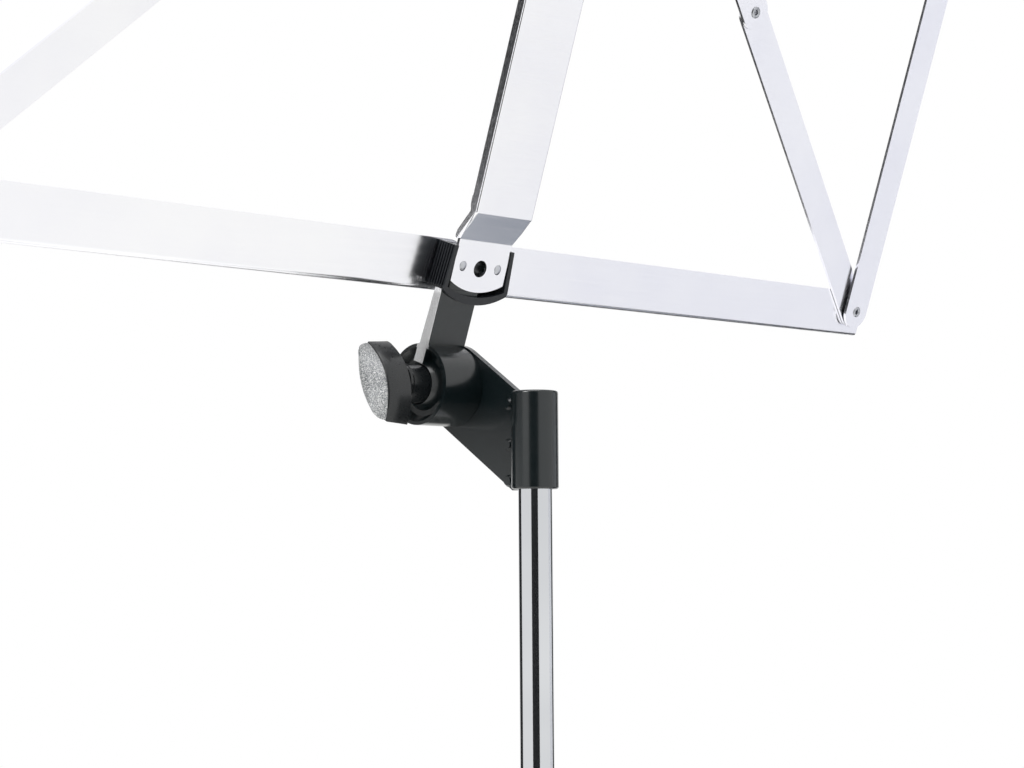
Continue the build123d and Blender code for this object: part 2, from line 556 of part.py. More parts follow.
# The arm: a web up the desk, the barrel round the bolt, and a block under the plate.
block_half = COVER_HALF_TOP - COVER_WALL - 0.6
arm_gap = GUSSET_RADIUS + 0.3
with BuildPart() as arm:
    with BuildSketch(desk_side.offset(ARM_RIGHT)):
        with BuildLine():
            Polyline((COVER_CORNER, ARM_FACE_TOP), (-ARM_REACH, ARM_FACE_LOW), (-ARM_REACH, ARM_BACK_LOW),
                     (COVER_CORNER, ARM_BACK_TOP), close=True)
        make_face()
    extrude(amount=BARREL_END - ARM_RIGHT)
    with BuildSketch(level(SHEET + SEAT_PLAY)):
        with BuildLine():
            Polyline((-block_half, COVER_TOP - 0.5), (block_half, COVER_TOP - 0.5),
                     (block_half, COVER_CORNER + 1), (-block_half, COVER_CORNER + 1), close=True)
        make_face()
        fillet(vertices(), 1.5)
    extrude(amount=COVER_BACK - SHEET - 2 * SEAT_PLAY)
    with BuildSketch(level(SHEET + SEAT_PLAY)):
        with BuildLine():
            Polyline((ARM_RIGHT + 0.2, COVER_CORNER - 2), (block_half, COVER_CORNER - 2),
                     (block_half, COVER_CORNER + 3), (ARM_RIGHT + 0.2, COVER_CORNER + 3), close=True)
        make_face()
    extrude(amount=ARM_BACK_TOP - SHEET - SEAT_PLAY)
    with BuildSketch(on_tilt_axis(barrel_start)):
        Circle(BARREL_RADIUS)
    extrude(amount=BARREL_END - barrel_start)
    fillet(arm.edges().filter_by(GeomType.CIRCLE).group_by(Axis.X)[0], 1.6)
    with BuildSketch(on_tilt_axis(BARREL_END)):
        Circle(BARREL_RADIUS - DISH_LIP)
        Circle(HUB_RADIUS + 0.4, mode=Mode.SUBTRACT)
    extrude(amount=-DISH_DEPTH, taper=32, mode=Mode.SUBTRACT)
    with BuildSketch(on_tilt_axis(BARREL_END)):
        Circle(HUB_RADIUS + 0.4)
    extrude(amount=-DISH_DEPTH, mode=Mode.SUBTRACT)
    with BuildSketch(desk_side.offset(BARREL_END)):
        with BuildLine():
            Polyline((-ARM_REACH + HUB_RADIUS + 0.6, ARM_FACE_LOW + 0.2),
                     (-ARM_REACH + HUB_RADIUS + 0.6, ARM_BACK_LOW),
                     (-ARM_REACH + BARREL_RADIUS - 0.5, ARM_BACK_LOW - 0.3),
                     (-ARM_REACH + BARREL_RADIUS - 0.5, ARM_FACE_LOW), close=True)
        make_face()
    extrude(amount=-DISH_DEPTH)
    with BuildSketch(on_tilt_axis(ARM_RIGHT - 1)):
        Circle(BOLT_RADIUS + RUN_PLAY)
    extrude(amount=BARREL_END - ARM_RIGHT + 2, mode=Mode.SUBTRACT)
    with BuildSketch(level(0)):
        Circle(PLATE_HOLE)
        with Locations((PIVOT_U, 0), (-PIVOT_U, 0)):
            Circle(RIVET_RADIUS + SEAT_PLAY)
    extrude(amount=COVER_BACK + 1, mode=Mode.SUBTRACT)
finish(arm, "tilt_arm")

# The cover: a moulded shell round the block, with a rim in front of the arm and ribbed cheeks.
with BuildPart() as cover:
    with BuildSketch(level(-COVER_PROUD)):
        with BuildLine():
            right = (COVER_HALF, COVER_CORNER)
            left = (-COVER_HALF, COVER_CORNER)
            Polyline(left, (-COVER_HALF_TOP, COVER_TOP), (COVER_HALF_TOP, COVER_TOP), right)
            ThreePointArc(right, (0, COVER_LOW), left)
        make_face()
        fillet(vertices().group_by(Axis.Y)[0], 1.8)
    extrude(amount=COVER_BACK + COVER_PROUD)
    with BuildSketch(level(-COVER_PROUD)):
        with BuildLine():
            inner_low = COVER_CORNER + 1.1
            inner_half = COVER_HALF - COVER_WALL
            inner_right, inner_left = (inner_half, inner_low), (-inner_half, inner_low)
            Polyline(inner_left, (-COVER_HALF_TOP + COVER_WALL - 0.2, COVER_TOP + 1),
                     (COVER_HALF_TOP - COVER_WALL + 0.2, COVER_TOP + 1), inner_right)
            ThreePointArc(inner_right, (0, COVER_LOW + 2.9), inner_left)
        make_face()
    extrude(amount=COVER_BACK + COVER_PROUD, mode=Mode.SUBTRACT)
    with BuildSketch(level(ARM_FACE_TOP - 0.15)):
        with Locations(((BARREL_END + ARM_RIGHT) / 2, COVER_LOW)):
            Rectangle(BARREL_END - ARM_RIGHT + 0.4, 12)
    extrude(amount=COVER_BACK, mode=Mode.SUBTRACT)
    for side in (1, -1):
        for i in range(RIB_COUNT + 1):
            depth = COVER_PROUD + 0.2 + RIB_PITCH * i
            with BuildSketch(level(depth - 0.35)):
                with BuildLine():
                    Polyline((side * (COVER_HALF - RIB_DEPTH), COVER_CORNER - 4),
                             (side * (COVER_HALF_TOP - RIB_DEPTH), COVER_TOP + 1),
                             (side * (COVER_HALF_TOP + 3), COVER_TOP + 1),
                             (side * (COVER_HALF + 3), COVER_CORNER - 4), close=True)
                make_face()
            extrude(amount=0.7, mode=Mode.SUBTRACT)
finish(cover, "head_cover")

# ---------------------------------------------------------------- desk
# Centre bar: a plate on the block, a joggle away from the reader, then a long shallow channel.
bar_top = LINK + 9
with BuildPart() as bar:
    with BuildSketch(desk_side.offset(-BAR_HALF)):
        with BuildLine():
            Polyline((PLATE_LOW - 1, 0), (PLATE_TOP, 0), (JOGGLE_TOP, -JOGGLE_DEPTH), (bar_top, -JOGGLE_DEPTH),
                     (bar_top, SHEET - JOGGLE_DEPTH), (JOGGLE_TOP + 0.6, SHEET - JOGGLE_DEPTH),
                     (PLATE_TOP + 0.6, SHEET), (PLATE_LOW - 1, SHEET), close=True)
        make_face()
    extrude(amount=2 * BAR_HALF)
    joggle_edges = bar.edges().filter_by(Axis.X)
    fillet(joggle_edges.filter_by(lambda e: plate_centre.Z + 5 < e.center().Z < plate_centre.Z + 30), 0.9)
    with BuildSketch(level(-JOGGLE_DEPTH)):
        with BuildLine():
            Polyline((-PLATE_HALF, PLATE_CORNER), (-PLATE_HALF, PLATE_TOP), (-BAR_HALF, JOGGLE_TOP),
                     (-BAR_HALF, bar_top - 6), (-BAR_HALF + 6, bar_top), (BAR_HALF - 6, bar_top),
                     (BAR_HALF, bar_top - 6), (BAR_HALF, JOGGLE_TOP), (PLATE_HALF, PLATE_TOP),
                     (PLATE_HALF, PLATE_CORNER))
            ThreePointArc((PLATE_HALF, PLATE_CORNER), (0, PLATE_LOW), (-PLATE_HALF, PLATE_CORNER))
        make_face()
    extrude(amount=JOGGLE_DEPTH + 2 * SHEET, mode=Mode.INTERSECT)
    for side in (1, -1):
        with BuildSketch(level(-JOGGLE_DEPTH + SHEET / 2)):
            with Locations((side * (BAR_HALF - SHEET / 2), (JOGGLE_TOP + 2 + bar_top - 6) / 2)):
                Rectangle(SHEET, bar_top - 8 - JOGGLE_TOP)
        extrude(amount=SHEET / 2 + BAR_FLANGE)
    fillet(bar.edges().filter_by(lambda e: e.length > LINK * 0.8
                                 and abs((e.center() - plate_centre).dot(to_reader) + JOGGLE_DEPTH) < 0.01), 0.8)
    with BuildSketch(level(-JOGGLE_DEPTH - 1)):
        Circle(PLATE_HOLE)
        with Locations((PIVOT_U, 0), (-PIVOT_U, 0)):
            Circle(RIVET_RADIUS + SEAT_PLAY)
        with Locations((PIVOT_U, LINK), (-PIVOT_U, LINK)):
            Circle(EYELET_RADIUS + SEAT_PLAY)
    extrude(amount=JOGGLE_DEPTH + 3, mode=Mode.SUBTRACT)
finish(bar, "centre_bar")

# Plate rivets: domed heads on the plate, shanks through the block and the ledge halves.
tail_d = LEDGE_D + SHEET + LAYER_PLAY
with BuildPart() as plate_rivets:
    with BuildSketch(level(0)):
        with Locations((PIVOT_U, 0), (-PIVOT_U, 0)):
            Circle(RIVET_RADIUS)
    extrude(amount=tail_d)
    with BuildSketch(level(0)):
        with Locations((PIVOT_U, 0), (-PIVOT_U, 0)):
            Circle(PLATE_RIVET_HEAD)
    extrude(amount=-1.0, taper=35)
    with BuildSketch(level(tail_d)):
        with Locations((PIVOT_U, 0), (-PIVOT_U, 0)):
            Circle(2 * RIVET_RADIUS)
    extrude(amount=0.8)
finish(plate_rivets, "plate_rivets")

# Brace rivets: spaced off the bar's back so that the top bars and braces clear the channel.
with BuildPart() as brace_rivets:
    spots = [(PIVOT_U, LINK), (-PIVOT_U, LINK)]
    with BuildSketch(level(-JOGGLE_DEPTH)):
        with Locations(*spots):
            Circle(EYELET_RADIUS)
    extrude(amount=JOGGLE_DEPTH + TOP_BAR_D + SHEET + 0.1)
    with BuildSketch(level(-JOGGLE_DEPTH)):
        with Locations(*spots):
            Circle(EYELET_HEAD)
    extrude(amount=-0.8, taper=25)
    with BuildSketch(level(SHEET - JOGGLE_DEPTH)):
        with Locations(*spots):
            Circle(2 * EYELET_RADIUS)
    extrude(amount=JOGGLE_DEPTH - SHEET + BRACE_ROOT_D - 0.1)
    with BuildSketch(level(TOP_BAR_D + SHEET + 0.1)):
        with Locations(*spots):
            Circle(EYELET_HEAD)
    extrude(amount=HEAD_RISE)
finish(brace_rivets, "brace_rivets")

for side, hand in ((1, "right"), (-1, "left")):
    ledge_pivot = (side * PIVOT_U, 0)
    ledge_end_pivot = (side * (PIVOT_U + LINK), 0)
    top_pivot = (side * PIVOT_U, LINK)
    corner_pivot = (side * (PIVOT_U + LINK), LINK)
    knee = (side * (PIVOT_U + LINK / 2), LINK / 2)

    # Ledge half: an angle section that carries the music on its lip.
    with BuildPart() as ledge:
        with BuildSketch(desk_side.offset(side * 0.7)):
            with BuildLine():
                Polyline((LEDGE_TOP, LEDGE_D), (LEDGE_BOTTOM, LEDGE_D), (LEDGE_BOTTOM, LEDGE_D + LEDGE_LIP),
                         (LEDGE_BOTTOM + SHEET, LEDGE_D + LEDGE_LIP), (LEDGE_BOTTOM + SHEET, LEDGE_D + SHEET),
                         (LEDGE_TOP, LEDGE_D + SHEET), close=True)
            make_face()
        extrude(amount=side * (LEDGE_END - 0.7))
        along = ledge.edges().filter_by(Axis.X)
        fillet(along.filter_by(lambda e: (e.center() - plate_centre).dot(up_desk) < LEDGE_BOTTOM + 0.01
                               and (e.center() - plate_centre).dot(to_reader) < LEDGE_D + 0.01), LEDGE_BEND)
        with BuildSketch(level(LEDGE_D - 1)):
            with Locations((side * PIVOT_U / 2, LEDGE_TOP)):
                Rectangle(PIVOT_U, 2 * LEDGE_TOP)
            with Locations(ledge_pivot):
                Circle(PIVOT_U - 0.7, mode=Mode.SUBTRACT)
        extrude(amount=SHEET + 2, mode=Mode.SUBTRACT)
        with BuildSketch(level(LEDGE_D - 1)):
            with Locations(ledge_pivot):
                Circle(RIVET_RADIUS + PIVOT_PLAY)
            with Locations(ledge_end_pivot):
                Circle(EYELET_RADIUS + SEAT_PLAY)
        extrude(amount=LEDGE_LIP + 2, mode=Mode.SUBTRACT)
    finish(ledge, f"ledge_{hand}")

    # Eyelet through ledge, lower brace and outer strut.
    eyelet(OUTER_STRUT_D, LEDGE_D + SHEET - OUTER_STRUT_D, ledge_end_pivot, f"ledge_eyelet_{hand}")

    flat_link(LOWER_BRACE_D, ledge_end_pivot, knee, BRACE_HALF_WIDTH,
              [(ledge_end_pivot, EYELET_RADIUS + PIVOT_PLAY), (knee, EYELET_BORE)], f"lower_brace_{hand}")
    flat_link(OUTER_STRUT_D, ledge_end_pivot, corner_pivot, STRUT_HALF_WIDTH,
              [(ledge_end_pivot, EYELET_RADIUS + PIVOT_PLAY), (corner_pivot, EYELET_RADIUS + SEAT_PLAY)],
              f"outer_strut_{hand}")
    flat_link(TOP_BAR_D, top_pivot, corner_pivot, STRUT_HALF_WIDTH,
              [(top_pivot, EYELET_RADIUS + PIVOT_PLAY), (corner_pivot, EYELET_RADIUS + PIVOT_PLAY)],
              f"top_bar_{hand}")
    eyelet(TOP_BAR_D - 0.1, OUTER_STRUT_D + SHEET - TOP_BAR_D + 0.1, corner_pivot, f"corner_eyelet_{hand}")

    # Upper brace: flat at the knee, joggled forward near its root on the centre bar.
    brace_plane = Plane(origin=plate_centre + Vector(top_pivot[0], 0, 0) + up_desk * LINK,
                        x_dir=(Vector(side, 0, 0) - up_desk) / sqrt(2), z_dir=to_reader)
    brace_side = Plane(origin=brace_plane.origin - brace_plane.y_dir * BRACE_HALF_WIDTH,
                       x_dir=brace_plane.x_dir, z_dir=brace_plane.y_dir)
    way = -1 if brace_side.y_dir.dot(to_reader) < 0 else 1
    with BuildPart() as upper_brace:
        with BuildSketch(brace_side):
            with BuildLine():
                near, far, root = way * UPPER_BRACE_D, way * (UPPER_BRACE_D + SHEET), way * BRACE_ROOT_D
                Polyline((-9, root), (BRACE_JOG_START, root), (BRACE_JOG_END, near),
                         (brace_length + 9, near), (brace_length + 9, far), (BRACE_JOG_END - 0.4, far),
                         (BRACE_JOG_START - 0.4, root + way * SHEET), (-9, root + way * SHEET), close=True)
            make_face()
        extrude(amount=2 * BRACE_HALF_WIDTH)
        with BuildSketch(brace_plane):
            with Locations((brace_length / 2, 0)):
                SlotCenterToCenter(brace_length, 2 * BRACE_HALF_WIDTH)
            Circle(EYELET_RADIUS + PIVOT_PLAY, mode=Mode.SUBTRACT)
            with Locations((brace_length, 0)):
                Circle(EYELET_RADIUS + SEAT_PLAY, mode=Mode.SUBTRACT)
        extrude(amount=UPPER_BRACE_D + 2 * SHEET, mode=Mode.INTERSECT)
    finish(upper_brace, f"upper_brace_{hand}")

    # The knee's eyelet is fixed in the upper brace and stops at the lower one.
    with BuildPart() as knee_eyelet:
        with BuildSketch(level(UPPER_BRACE_D)):
            with Locations(knee):
                Circle(EYELET_RADIUS)
        extrude(amount=SHEET)
        with BuildSketch(level(UPPER_BRACE_D)):
            with Locations(knee):
                Circle(EYELET_HEAD)
        extrude(amount=-HEAD_RISE)
        fillet(knee_eyelet.edges().filter_by(GeomType.CIRCLE).sort_by(SortBy.RADIUS)[-2:], HEAD_RISE * 0.45)
        with BuildSketch(level(UPPER_BRACE_D - 1)):
            with Locations(knee):
                Circle(EYELET_BORE)
        extrude(amount=3, mode=Mode.SUBTRACT)
    finish(knee_eyelet, f"knee_eyelet_{hand}")

print("leg", degrees(leg_angle), "strut", degrees(strut_angle), degrees(strut_folded), "travel", spider_travel)
print("tilt axis", tilt_axis, "plate centre", plate_centre, "brace length", brace_length)
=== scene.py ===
"""Folding music stand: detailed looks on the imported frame, a studio and a camera."""
import json
import logging
from dataclasses import dataclass, field, replace
from enum import Enum
from math import cos, pi, radians, sin
from typing import Iterable, Sequence

import bmesh
import bpy
from mathutils import Matrix, Vector


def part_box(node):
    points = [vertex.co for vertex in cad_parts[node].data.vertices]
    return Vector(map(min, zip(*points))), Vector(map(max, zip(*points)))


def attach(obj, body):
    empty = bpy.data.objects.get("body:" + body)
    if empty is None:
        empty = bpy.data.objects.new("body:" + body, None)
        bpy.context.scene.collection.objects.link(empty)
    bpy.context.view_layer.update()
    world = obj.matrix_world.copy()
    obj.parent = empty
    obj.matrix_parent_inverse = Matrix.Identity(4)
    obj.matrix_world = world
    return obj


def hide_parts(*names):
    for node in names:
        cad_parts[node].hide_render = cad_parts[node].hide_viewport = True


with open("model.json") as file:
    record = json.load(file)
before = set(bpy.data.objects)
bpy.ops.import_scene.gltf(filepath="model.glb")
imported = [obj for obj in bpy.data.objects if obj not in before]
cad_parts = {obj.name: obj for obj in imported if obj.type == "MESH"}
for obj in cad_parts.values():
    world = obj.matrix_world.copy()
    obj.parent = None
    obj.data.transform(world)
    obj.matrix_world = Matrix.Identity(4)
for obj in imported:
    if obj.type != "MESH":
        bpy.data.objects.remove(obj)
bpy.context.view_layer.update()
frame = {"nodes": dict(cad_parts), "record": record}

MM = 0.001
log = logging.getLogger("music_stand")
logging.basicConfig(level=logging.INFO, format="%(message)s")

TILT = radians(19.2)                                  # desk leans back from vertical
TO_READER = Vector((0.0, -cos(TILT), sin(TILT)))
UP_DESK = Vector((0.0, sin(TILT), cos(TILT)))
ACROSS = Vector((1.0, 0.0, 0.0))
UPRIGHT = Vector((0.0, 0.0, 1.0))

ON_AXIS = 0.01                                        # a turned profile's end; these are in millimetres
TUBE_WALL = 1.2
WING_GRIP, WING_NECK = 10.0, 3.0                      # the clamp wing's grip with its crown, and its neck
PLATE_RIVET_LENGTH, PLATE_RIVET_DOME = 12.25, 1.0
PLATE_RIVET_OFFSET = 8.75                             # from the desk's middle

# A colour Mix node's sockets share their names with its other types, so they go by place.
MIX_FACTOR, MIX_UNDER, MIX_OVER, MIX_RESULT = 0, 6, 7, 2
GLINT_EDGE = 0.09                                     # softness of a painted glint's edge


# ------------------------------------------------------------------ materials
def colour(code: str) -> tuple[float, float, float, float]:
    """Turn an sRGB hex colour into linear values.

    Args:
        code: Six hex digits after a hash, such as "#0C1010".
    Returns:
        Linear red, green, blue and an alpha of 1.
    """
    parts = [int(code[i:i + 2], 16) / 255 for i in (1, 3, 5)]
    linear = [c / 12.92 if c <= 0.04045 else ((c + 0.055) / 1.055) ** 2.4 for c in parts]
    return (*linear, 1.0)


def add_node(tree: bpy.types.NodeTree, kind: str, inputs: dict | None = None,
             **settings: object) -> bpy.types.Node:
    """Add a shader node with its settings and links.

    Args:
        tree: The tree that gets the node.
        kind: The node's Blender type name.
        inputs: Socket name or index to a value, or to an output socket to link.
        **settings: Attributes of the node.
    Returns:
        The new node.
    """
    made = tree.nodes.new(kind)
    for key, value in settings.items():
        setattr(made, key, value)
    for key, value in (inputs or {}).items():
        if isinstance(value, bpy.types.NodeSocket):
            tree.links.new(value, made.inputs[key])
        else:
            made.inputs[key].default_value = value
    return made


def calculate(tree: bpy.types.NodeTree, operation: str, *values: object) -> bpy.types.NodeSocket:
    """Add a Math node.

    Args:
        tree: The tree that gets the node.
        operation: The node's operation.
        *values: Its inputs, as numbers or output sockets.
    Returns:
        The result's socket.
    """
    return add_node(tree, "ShaderNodeMath", dict(enumerate(values)), operation=operation).outputs["Value"]


def lay_over(tree: bpy.types.NodeTree, factor: bpy.types.NodeSocket, under: bpy.types.NodeSocket,
             over: str) -> bpy.types.NodeSocket:
    """Lay one plain colour over another colour.

    Args:
        tree: The tree that gets the node.
        factor: Where the plain colour shows.
        under: The other colour.
        over: The plain colour as sRGB hex.
    Returns:
        The mixed colour's socket.
    """
    mixed = add_node(tree, "ShaderNodeMix", {MIX_FACTOR: factor, MIX_UNDER: under, MIX_OVER: colour(over)},
                     data_type="RGBA")
    return mixed.outputs[MIX_RESULT]


def set_ramp(ramp: bpy.types.Node, *stops: tuple[float, tuple[float, float, float, float]]) -> None:
    """Set the stops of a colour ramp that has as many already.

    Args:
        ramp: The ramp's node.
        *stops: Pairs of position and linear colour.
    """
    for element, (position, shade) in zip(ramp.color_ramp.elements, stops):
        element.position, element.color = position, shade


class Grain(Enum):
    """How the fine surface of a material runs."""

    EVEN = (1.0, 1.0, 1.0)
    ALONG_X = (0.04, 1.0, 1.0)
    ALONG_Z = (1.0, 1.0, 0.04)


@dataclass(frozen=True)
class PaintedSideHighlight:
    """Where an enamelled bar's side gets a painted highlight of near-white mirror metal: outward in X, upward
    in Z, within its own depth.
    """

    beyond_x_mm: float
    above_z_mm: float
    depth_mm: float
    half_depth_mm: float
    shade: str

    def mask(self, tree: bpy.types.NodeTree, where: bpy.types.NodeSocket) -> bpy.types.NodeSocket:
        """Build the nodes that mark the side with the painted highlight.

        Args:
            tree: The material's tree.
            where: Object coordinates.
        Returns:
            A socket that is 1 on the painted highlight and 0 elsewhere.
        """
        along = add_node(tree, "ShaderNodeSeparateXYZ", {"Vector": where})
        depth = add_node(tree, "ShaderNodeVectorMath", {0: where, 1: TO_READER}, operation="DOT_PRODUCT")
        out = calculate(tree, "GREATER_THAN", along.outputs["X"], self.beyond_x_mm * MM)
        above = calculate(tree, "GREATER_THAN", along.outputs["Z"], self.above_z_mm * MM)
        level = calculate(tree, "COMPARE", depth.outputs["Value"], self.depth_mm * MM,
                          self.half_depth_mm * MM)
        return calculate(tree, "MULTIPLY", calculate(tree, "MULTIPLY", out, above), level)


@dataclass(frozen=True)
class Finish:
    """One real material and how its surface was made.

    The two colours are the ends of a soft cloudy variation, cloud_mm apart; the grain is a fine
    relief of grain_mm spacing and grain_depth_mm depth that also breaks up the roughness. Painted
    glints are a colour and the level of the grain above which it shows: bright specks of painted highlight.
    """

    name: str
    dark: str
    light: str
    metallic: float = 0.0
    roughness: tuple[float, float] = (0.3, 0.4)
    cloud_mm: float = 40.0
    grain_mm: float = 1.0
    grain_depth_mm: float = 0.01
    grain: Grain = Grain.EVEN
    coat: float = 0.0
    coat_roughness: float = 0.1
    painted_glints: tuple[str, float] | None = None
    painted_side_highlight: PaintedSideHighlight | None = None

    def material(self) -> bpy.types.Material:
        """Build the node material once and return it.

        Returns:
            The material with this finish's name.
        """
        found = bpy.data.materials.get(self.name)
        if found:
            return found
        made = bpy.data.materials.new(self.name)
        made.use_nodes = True
        tree = made.node_tree
        tree.nodes.clear()
        where = add_node(tree, "ShaderNodeTexCoord").outputs["Object"]
        cloud = add_node(tree, "ShaderNodeTexNoise", {
            "Vector": where, "Scale": 1 / (self.cloud_mm * MM), "Detail": 3.0, "Roughness": 0.55})
        ramp = add_node(tree, "ShaderNodeValToRGB", {"Fac": cloud.outputs["Fac"]})
        set_ramp(ramp, (0.32, colour(self.dark)), (0.68, colour(self.light)))
        stretched = add_node(tree, "ShaderNodeMapping", {"Vector": where, "Scale": self.grain.value})
        fine = add_node(tree, "ShaderNodeTexNoise", {
            "Vector": stretched.outputs["Vector"], "Scale": 1 / (self.grain_mm * MM), "Detail": 1.5})
        gloss = add_node(tree, "ShaderNodeMapRange", {
            "Value": fine.outputs["Fac"], "From Min": 0.3, "From Max": 0.7, "To Min": self.roughness[0],
            "To Max": self.roughness[1]})
        relief = add_node(tree, "ShaderNodeBump", {
            "Height": fine.outputs["Fac"], "Strength": 1.0, "Distance": self.grain_depth_mm * MM})
        paint = ramp.outputs["Color"]
        # Painted glints: light specks laid over the colour where the grain rises above their level.
        if self.painted_glints:
            shade, level = self.painted_glints
            glint_spots = add_node(tree, "ShaderNodeValToRGB", {"Fac": fine.outputs["Fac"]})
            set_ramp(glint_spots, (level, colour("#000000")), (level + GLINT_EDGE, colour("#FFFFFF")))
            paint = lay_over(tree, glint_spots.outputs["Color"], paint, shade)
        metallic: float | bpy.types.NodeSocket = self.metallic
        # Painted highlight: the masked side turns near-white mirror metal in place of the enamel.
        if self.painted_side_highlight:
            metallic = self.painted_side_highlight.mask(tree, where)
            paint = lay_over(tree, metallic, paint, self.painted_side_highlight.shade)
        shader = add_node(tree, "ShaderNodeBsdfPrincipled", {
            "Base Color": paint, "Metallic": metallic, "Roughness": gloss.outputs["Result"],
            "Normal": relief.outputs["Normal"], "Coat Weight": self.coat,
            "Coat Roughness": self.coat_roughness})
        add_node(tree, "ShaderNodeOutputMaterial", {"Surface": shader.outputs["BSDF"]})
        return made


# Cold-rolled strip, barrel nickel-plated: pale, faintly lavender, with a soft rolled grain along the strip.
NICKEL = Finish("nickel_plated_rolled_strip", "#F4F4FA", "#FBFBFE", 1.0, (0.17, 0.22), 60, 1.2, 0.0002,
                Grain.ALONG_X)
# The same plating on steel formed into a long channel, whose grain runs up the column.
NICKEL_UPRIGHT = Finish("nickel_plated_channel", "#DADBE2", "#E8E8EF", 1.0, (0.13, 0.19), 60, 1.2, 0.0002,
                        Grain.ALONG_Z)
# Drawn steel tube, polished and chrome-plated: a hard mirror with faint drawing lines.
CHROME = Finish("polished_chrome_on_drawn_tube", "#C9CBCE", "#DCDEE0", 1.0, (0.035, 0.07), 90, 0.5, 0.0002,
                Grain.ALONG_Z)
# Tumbled and zinc-plated rivet steel: greyer and duller than the strip.
RIVET = Finish("zinc_plated_rivet_steel", "#A4A6AB", "#C8CACF", 1.0, (0.26, 0.40), 4, 0.35, 0.004)
# Black enamel stoved on steel and a die casting: deep black under a clear skin, almost without orange peel.
ENAMEL = Finish("stoved_black_enamel", "#0A1113", "#0E1719", 0.0, (0.22, 0.27), 25, 2.4, 0.0003, coat=0.35,
                coat_roughness=0.15)
# The same enamel on the arm, with a painted highlight: its outer side is near-white mirror metal for the
# bright reflection along the glossy side.
ENAMEL_WITH_PAINTED_SIDE_HIGHLIGHT = replace(ENAMEL, name="stoved_black_enamel_painted_side_highlight",
                       painted_side_highlight=PaintedSideHighlight(15.55, 1061.2, 389.1, 3.1, "#FBFBFC"))
# Glass-filled nylon moulded in a satin mould: black, with a fine even grain.
NYLON = Finish("moulded_black_nylon", "#101318", "#161A1F", 0.0, (0.36, 0.46), 18, 0.5, 0.004)
# The same black nylon against a spark-eroded mould face with fine pits: its grey is painted light and its
# bright points are painted glints.
ERODED_NYLON_PAINTED_LIGHT = Finish("spark_eroded_nylon_painted_lit_grey_and_glints", "#55595B", "#8F9295", 0.0, (0.30, 0.55), 9, 0.3, 0.08,
                painted_glints=("#E2E2E2", 0.5))
# Smooth-moulded nylon of the wing's sides, with a soft sheen.
WING_SIDE = Finish("polished_mould_black_nylon", "#0D1012", "#14181A", 0.0, (0.26, 0.36), 15, 0.7, 0.006,
                   coat=0.3, coat_roughness=0.2)
# Compression-moulded rubber: dull, dusty black.
RUBBER = Finish("moulded_black_rubber", "#161616", "#26262A", 0.0, (0.68, 0.85), 14, 0.9, 0.05)

SLOT_FINISH = {"nickel_sheet": NICKEL, "rivet_steel": RIVET, "chrome_tube": CHROME,
               "chrome_channel": NICKEL_UPRIGHT, "black_rubber": RUBBER, "black_enamel": ENAMEL,
               "black_plastic": NYLON}


# ------------------------------------------------------------------ mesh tools
def dress(obj: bpy.types.Object, *finishes: Finish) -> bpy.types.Object:
    """Give an object its finishes, one per material slot.

    Args:
        obj: The object to dress.
        *finishes: The finishes, in slot order.
    Returns:
        The same object.
    """
    while len(obj.material_slots) < len(finishes):
        obj.data.materials.append(None)
    for i in range(len(obj.material_slots)):
        obj.material_slots[i].material = finishes[min(i, len(finishes) - 1)].material()
    return obj


def soften(obj: bpy.types.Object, width_mm: float, segments: int = 2, angle: float = 35) -> None:
    """Round an object's sharp edges with a bevel, as a tumbled or moulded piece has.

    Args:
        obj: The object.
        width_mm: Width of the rounding.
        segments: Facets across the rounding.
        angle: Edges sharper than this are rounded, in degrees.
    """
    rounding = obj.modifiers.new("rounding", "BEVEL")
    rounding.width, rounding.segments = width_mm * MM, segments
    rounding.limit_method, rounding.angle_limit = "ANGLE", radians(angle)
    rounding.harden_normals = True
    for face in obj.data.polygons:
        face.use_smooth = True


def make_object(bm: bmesh.types.BMesh, name: str, to_row: Matrix | None = None) -> bpy.types.Object:
    """Finish a bmesh as a smooth-shaded object at the row's origin.

    Args:
        bm: The mesh, freed here.
        name: The object's name.
        to_row: Places the mesh in the row frame.
    Returns:
        The new object, linked to the scene.
    """
    if to_row is not None:
        bmesh.ops.transform(bm, matrix=to_row, verts=bm.verts)
    bmesh.ops.remove_doubles(bm, verts=bm.verts, dist=1e-7)
    bmesh.ops.recalc_face_normals(bm, faces=bm.faces)
    mesh = bpy.data.meshes.new(name)
    bm.to_mesh(mesh)
    bm.free()
    for face in mesh.polygons:
        face.use_smooth = True
    mesh.set_sharp_from_angle(angle=radians(38))
    made = bpy.data.objects.new(name, mesh)
    bpy.context.scene.collection.objects.link(made)
    log.info("piece %s: %d faces", name, len(mesh.polygons))
    return made


def axes_at(origin: Vector, axis: Vector, aside: Vector) -> Matrix:
    """A matrix whose Z runs along an axis and whose X lies near another direction.

    Args:
        origin: Where the local origin goes, in metres.
        axis: Direction of the local Z.
        aside: Rough direction of the local X.
    Returns:
        The 4x4 matrix.
    """
    z = axis.normalized()
    x = (aside - z * aside.dot(z)).normalized()
    y = z.cross(x)
    return Matrix.Translation(origin) @ Matrix((x, y, z)).transposed().to_4x4()


def spin(bm: bmesh.types.BMesh, profile: Sequence[tuple[float, float]], steps: int = 64,
         closed: bool = True) -> None:
    """Turn a profile about the local Z axis.

    Args:
        bm: The mesh that gets the turned surface.
        profile: Pairs of radius and height in millimetres.
        steps: Facets round the axis.
        closed: Join the profile's last point to its first.
    """
    points = [bm.verts.new((r * MM, 0, h * MM)) for r, h in profile]
    pairs = list(zip(points, points[1:])) + ([(points[-1], points[0])] if closed else [])
    edges = [bm.edges.new(pair) for pair in pairs]
    bmesh.ops.spin(bm, geom=points + edges, cent=(0, 0, 0), axis=(0, 0, 1), angle=2 * pi, steps=steps,
                   use_merge=True)


